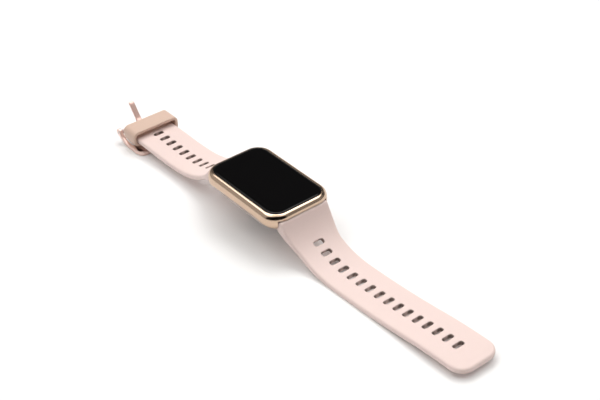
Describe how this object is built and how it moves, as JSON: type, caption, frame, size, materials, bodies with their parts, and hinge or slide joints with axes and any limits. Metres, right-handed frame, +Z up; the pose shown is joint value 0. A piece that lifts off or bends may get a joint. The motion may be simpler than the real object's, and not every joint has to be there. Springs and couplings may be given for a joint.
{
  "type": "fitness tracker band",
  "caption": "Slim rectangular wrist tracker with a glossy black face, metal ring case, side button and a slotted silicone strap with keeper and pin buckle, lying open.",
  "frame": {"origin": "on the surface the open band lies on, under the middle of its length and width", "axes": "+X across the band towards the side button, +Y along the band from the long strap towards the buckle, +Z up"},
  "size_m": [0.0306, 0.2156, 0.0212],
  "materials": {
    "rose_gold": "polished",
    "button_gold": "polished",
    "buckle_gold": "polished",
    "tongue_gold": "polished",
    "black_glass": "polished",
    "black_foam": "matte",
    "display_black": "gloss",
    "amber_flex": "satin",
    "black_plastic": "matte",
    "battery_foil": "satin",
    "green_board": "satin",
    "tin_can": "satin",
    "back_plastic": "satin",
    "seal_red": "matte",
    "window_glass": "polished",
    "led_lens": "gloss",
    "contact_gold": "polished",
    "steel": "satin",
    "seal_black": "matte",
    "pink_silicone": "matte",
    "tan_silicone": "matte"
  },
  "bodies": {
    "case": {"case_frame": "rose_gold", "cover_glass": "black_glass", "glass_gasket": "black_foam", "display_panel": "display_black", "display_flex": "amber_flex", "inner_chassis": "black_plastic", "battery": "battery_foil", "main_board": "green_board", "processor_shield": "tin_can", "radio_shield": "tin_can", "vibration_motor": "tin_can", "back_cover": "back_plastic", "back_gasket": "seal_red", "sensor_window": "window_glass", "sensor_board": "green_board", "sensor_leds": "led_lens", "charging_contacts": "contact_gold", "case_screws": "steel", "button_switch": "black_plastic", "button_seal": "seal_black"},
    "button": {"side_button": "button_gold", "button_clip": "steel"},
    "long_strap": {"strap_long": "pink_silicone", "bar_tube_long": "steel", "bar_spring_long": "steel"},
    "long_release": {"release_pin_long": "steel"},
    "short_strap": {"strap_short": "pink_silicone", "bar_tube_short": "steel", "bar_spring_short": "steel"},
    "short_release": {"release_pin_short": "steel"},
    "keeper": {"keeper_loop": "tan_silicone"},
    "buckle": {"buckle_frame": "buckle_gold", "buckle_pin": "steel"},
    "tongue": {"buckle_tongue": "tongue_gold"}
  },
  "joints": [
    {"name": "button_press", "type": "slide", "parent": "case", "child": "button", "axis": [-1, 0, 0], "range_m": [0, 0.00035], "stiffness_N_per_m": 2500, "springref_m": -0.0002},
    {"name": "long_strap_hinge", "type": "hinge", "parent": "case", "child": "long_strap", "pos_m": [0, -0.01197, 0.01476], "axis": [1, 0, 0], "range_deg": [0, 35]},
    {"name": "long_release_slide", "type": "slide", "parent": "long_strap", "child": "long_release", "axis": [-1, 0, 0], "range_m": [0, 0.0012], "stiffness_N_per_m": 600, "springref_m": -0.001},
    {"name": "short_strap_hinge", "type": "hinge", "parent": "case", "child": "short_strap", "pos_m": [0, 0.0272, 0.01633], "axis": [-1, 0, 0], "range_deg": [0, 50]},
    {"name": "short_release_slide", "type": "slide", "parent": "short_strap", "child": "short_release", "axis": [-1, 0, 0], "range_m": [0, 0.0012], "stiffness_N_per_m": 600, "springref_m": -0.001},
    {"name": "keeper_slide", "type": "slide", "parent": "short_strap", "child": "keeper", "axis": [0, -0.999, -0.0436], "range_m": [0, 0.014]},
    {"name": "buckle_hinge", "type": "hinge", "parent": "short_strap", "child": "buckle", "pos_m": [0, 0.10128, 0.00498], "axis": [1, 0, 0], "range_deg": [0, 175]},
    {"name": "tongue_hinge", "type": "hinge", "parent": "short_strap", "child": "tongue", "pos_m": [0, 0.10128, 0.00498], "axis": [1, 0, 0], "range_deg": [-40, 60]}
  ]
}
